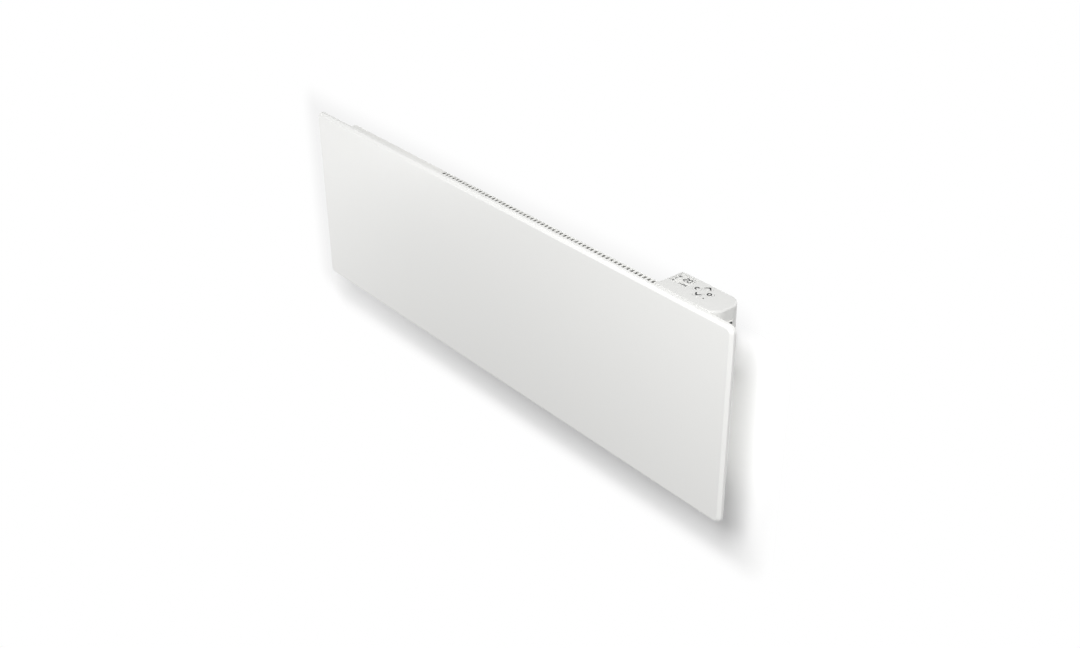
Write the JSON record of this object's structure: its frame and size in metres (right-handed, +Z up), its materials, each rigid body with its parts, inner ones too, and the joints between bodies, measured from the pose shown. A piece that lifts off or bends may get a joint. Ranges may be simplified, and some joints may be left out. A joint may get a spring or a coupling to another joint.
{
  "type": "wall panel convector heater",
  "caption": "Long low wall-hung electric convector heater: bevelled flat front panel, shallow slotted rear casing, control box with display and keys at the right end.",
  "frame": {"origin": "centre of the rectangle of four wall-screw holes, on the wall plane behind the bracket's feet", "axes": "+X to the right seen from the room, +Y into the wall, +Z up"},
  "size_m": [1.036, 0.076, 0.33],
  "materials": {
    "panel_paint": "smooth satin powder coat",
    "casing_paint": "satin powder coat",
    "zinc_steel": "zinc plated",
    "fin_aluminium": "as extruded",
    "rivet_aluminium": "plain",
    "shield_steel": "aluminised",
    "sheath_steel": "drawn stainless",
    "ceramic": "glazed steatite",
    "terminal_brass": "plain",
    "tinned_brass": "tinned",
    "silicone": "moulded silicone",
    "pad_rubber": "moulded",
    "cutout_phenolic": "moulded phenolic",
    "lead_brown": "silicone insulation",
    "lead_white": "silicone insulation",
    "lead_blue": "silicone insulation",
    "lead_green": "silicone insulation",
    "clip_nylon": "moulded nylon",
    "box_plastic": "fine spark texture",
    "window_clear": "clear acrylic",
    "display_glass": "reflective display glass",
    "key_plastic": "satin",
    "guide_clear": "smoked acrylic",
    "led_body": "moulded",
    "board_laminate": "solder mask on glass laminate",
    "black_plastic": "moulded",
    "transformer_core": "varnished laminations",
    "block_plastic": "moulded",
    "link_cable": "flat cable",
    "switch_plastic": "moulded",
    "rocker_plastic": "moulded",
    "gland_nylon": "moulded nylon",
    "sensor_resin": "epoxy bead",
    "lever_plastic": "moulded"
  },
  "bodies": {
    "heater": {"front_panel": "panel_paint", "rear_casing": "casing_paint", "bracket_leg_left": "casing_paint", "bracket_leg_right": "casing_paint", "bracket_rail": "casing_paint", "panel_studs": "zinc_steel", "flange_nuts": "zinc_steel", "casing_screws": "zinc_steel", "box_screws": "zinc_steel", "cover_screws": "zinc_steel", "board_screws": "zinc_steel", "element_bracket_left": "zinc_steel", "element_bracket_right": "zinc_steel", "cutout_bracket": "zinc_steel", "element_fin_body": "fin_aluminium", "rivets": "rivet_aluminium", "heat_shield": "shield_steel", "element_sheath": "sheath_steel", "element_insulators": "ceramic", "element_terminals": "terminal_brass", "switch_blades": "terminal_brass", "lead_terminals": "tinned_brass", "element_bushes": "silicone", "lead_grommet": "silicone", "back_pads": "pad_rubber", "thermal_cutout": "cutout_phenolic", "lead_live": "lead_brown", "lead_link": "lead_white", "switch_leads": "lead_white", "lead_neutral": "lead_blue", "lead_earth": "lead_green", "wire_clips": "clip_nylon", "control_box_base": "box_plastic", "control_box_cover": "box_plastic", "display_window": "window_clear", "display_module": "display_glass", "light_guide": "guide_clear", "indicator_led": "led_body", "key_board": "board_laminate", "power_board": "board_laminate", "tact_switches": "black_plastic", "relays": "black_plastic", "capacitors": "black_plastic", "transformer": "transformer_core", "terminal_block": "block_plastic", "board_link": "link_cable", "switch_frame": "switch_plastic", "cable_gland": "gland_nylon", "gland_nut": "gland_nylon", "sensor_holder": "gland_nylon", "room_sensor": "sensor_resin"},
    "key_up": {"key_up": "key_plastic"},
    "key_down": {"key_down": "key_plastic"},
    "key_power": {"key_power": "key_plastic"},
    "key_mode": {"key_mode": "key_plastic"},
    "rocker": {"rocker": "rocker_plastic"},
    "latch_left": {"latch_cam_left": "zinc_steel", "latch_lever_left": "lever_plastic"},
    "latch_right": {"latch_cam_right": "zinc_steel", "latch_lever_right": "lever_plastic"}
  },
  "joints": [
    {"name": "key_up_press", "type": "slide", "parent": "heater", "child": "key_up", "axis": [0, 0, -1], "range_m": [0, 0.0005], "stiffness_N_per_m": 2500},
    {"name": "key_down_press", "type": "slide", "parent": "heater", "child": "key_down", "axis": [0, 0, -1], "range_m": [0, 0.0005], "stiffness_N_per_m": 2500},
    {"name": "key_power_press", "type": "slide", "parent": "heater", "child": "key_power", "axis": [0, 0, -1], "range_m": [0, 0.0005], "stiffness_N_per_m": 2500},
    {"name": "key_mode_press", "type": "slide", "parent": "heater", "child": "key_mode", "axis": [0, 0, -1], "range_m": [0, 0.0005], "stiffness_N_per_m": 2500},
    {"name": "rocker_tilt", "type": "hinge", "parent": "heater", "child": "rocker", "pos_m": [0.4707, -0.0296, 0.1322], "axis": [0, 1, 0], "range_deg": [-16, 0]},
    {"name": "latch_left_turn", "type": "hinge", "parent": "heater", "child": "latch_left", "pos_m": [-0.225, -0.02725, 0.112], "axis": [0, 1, 0], "range_deg": [-90, 0]},
    {"name": "latch_right_turn", "type": "hinge", "parent": "heater", "child": "latch_right", "pos_m": [0.225, -0.02725, 0.112], "axis": [0, 1, 0], "range_deg": [0, 90]}
  ]
}
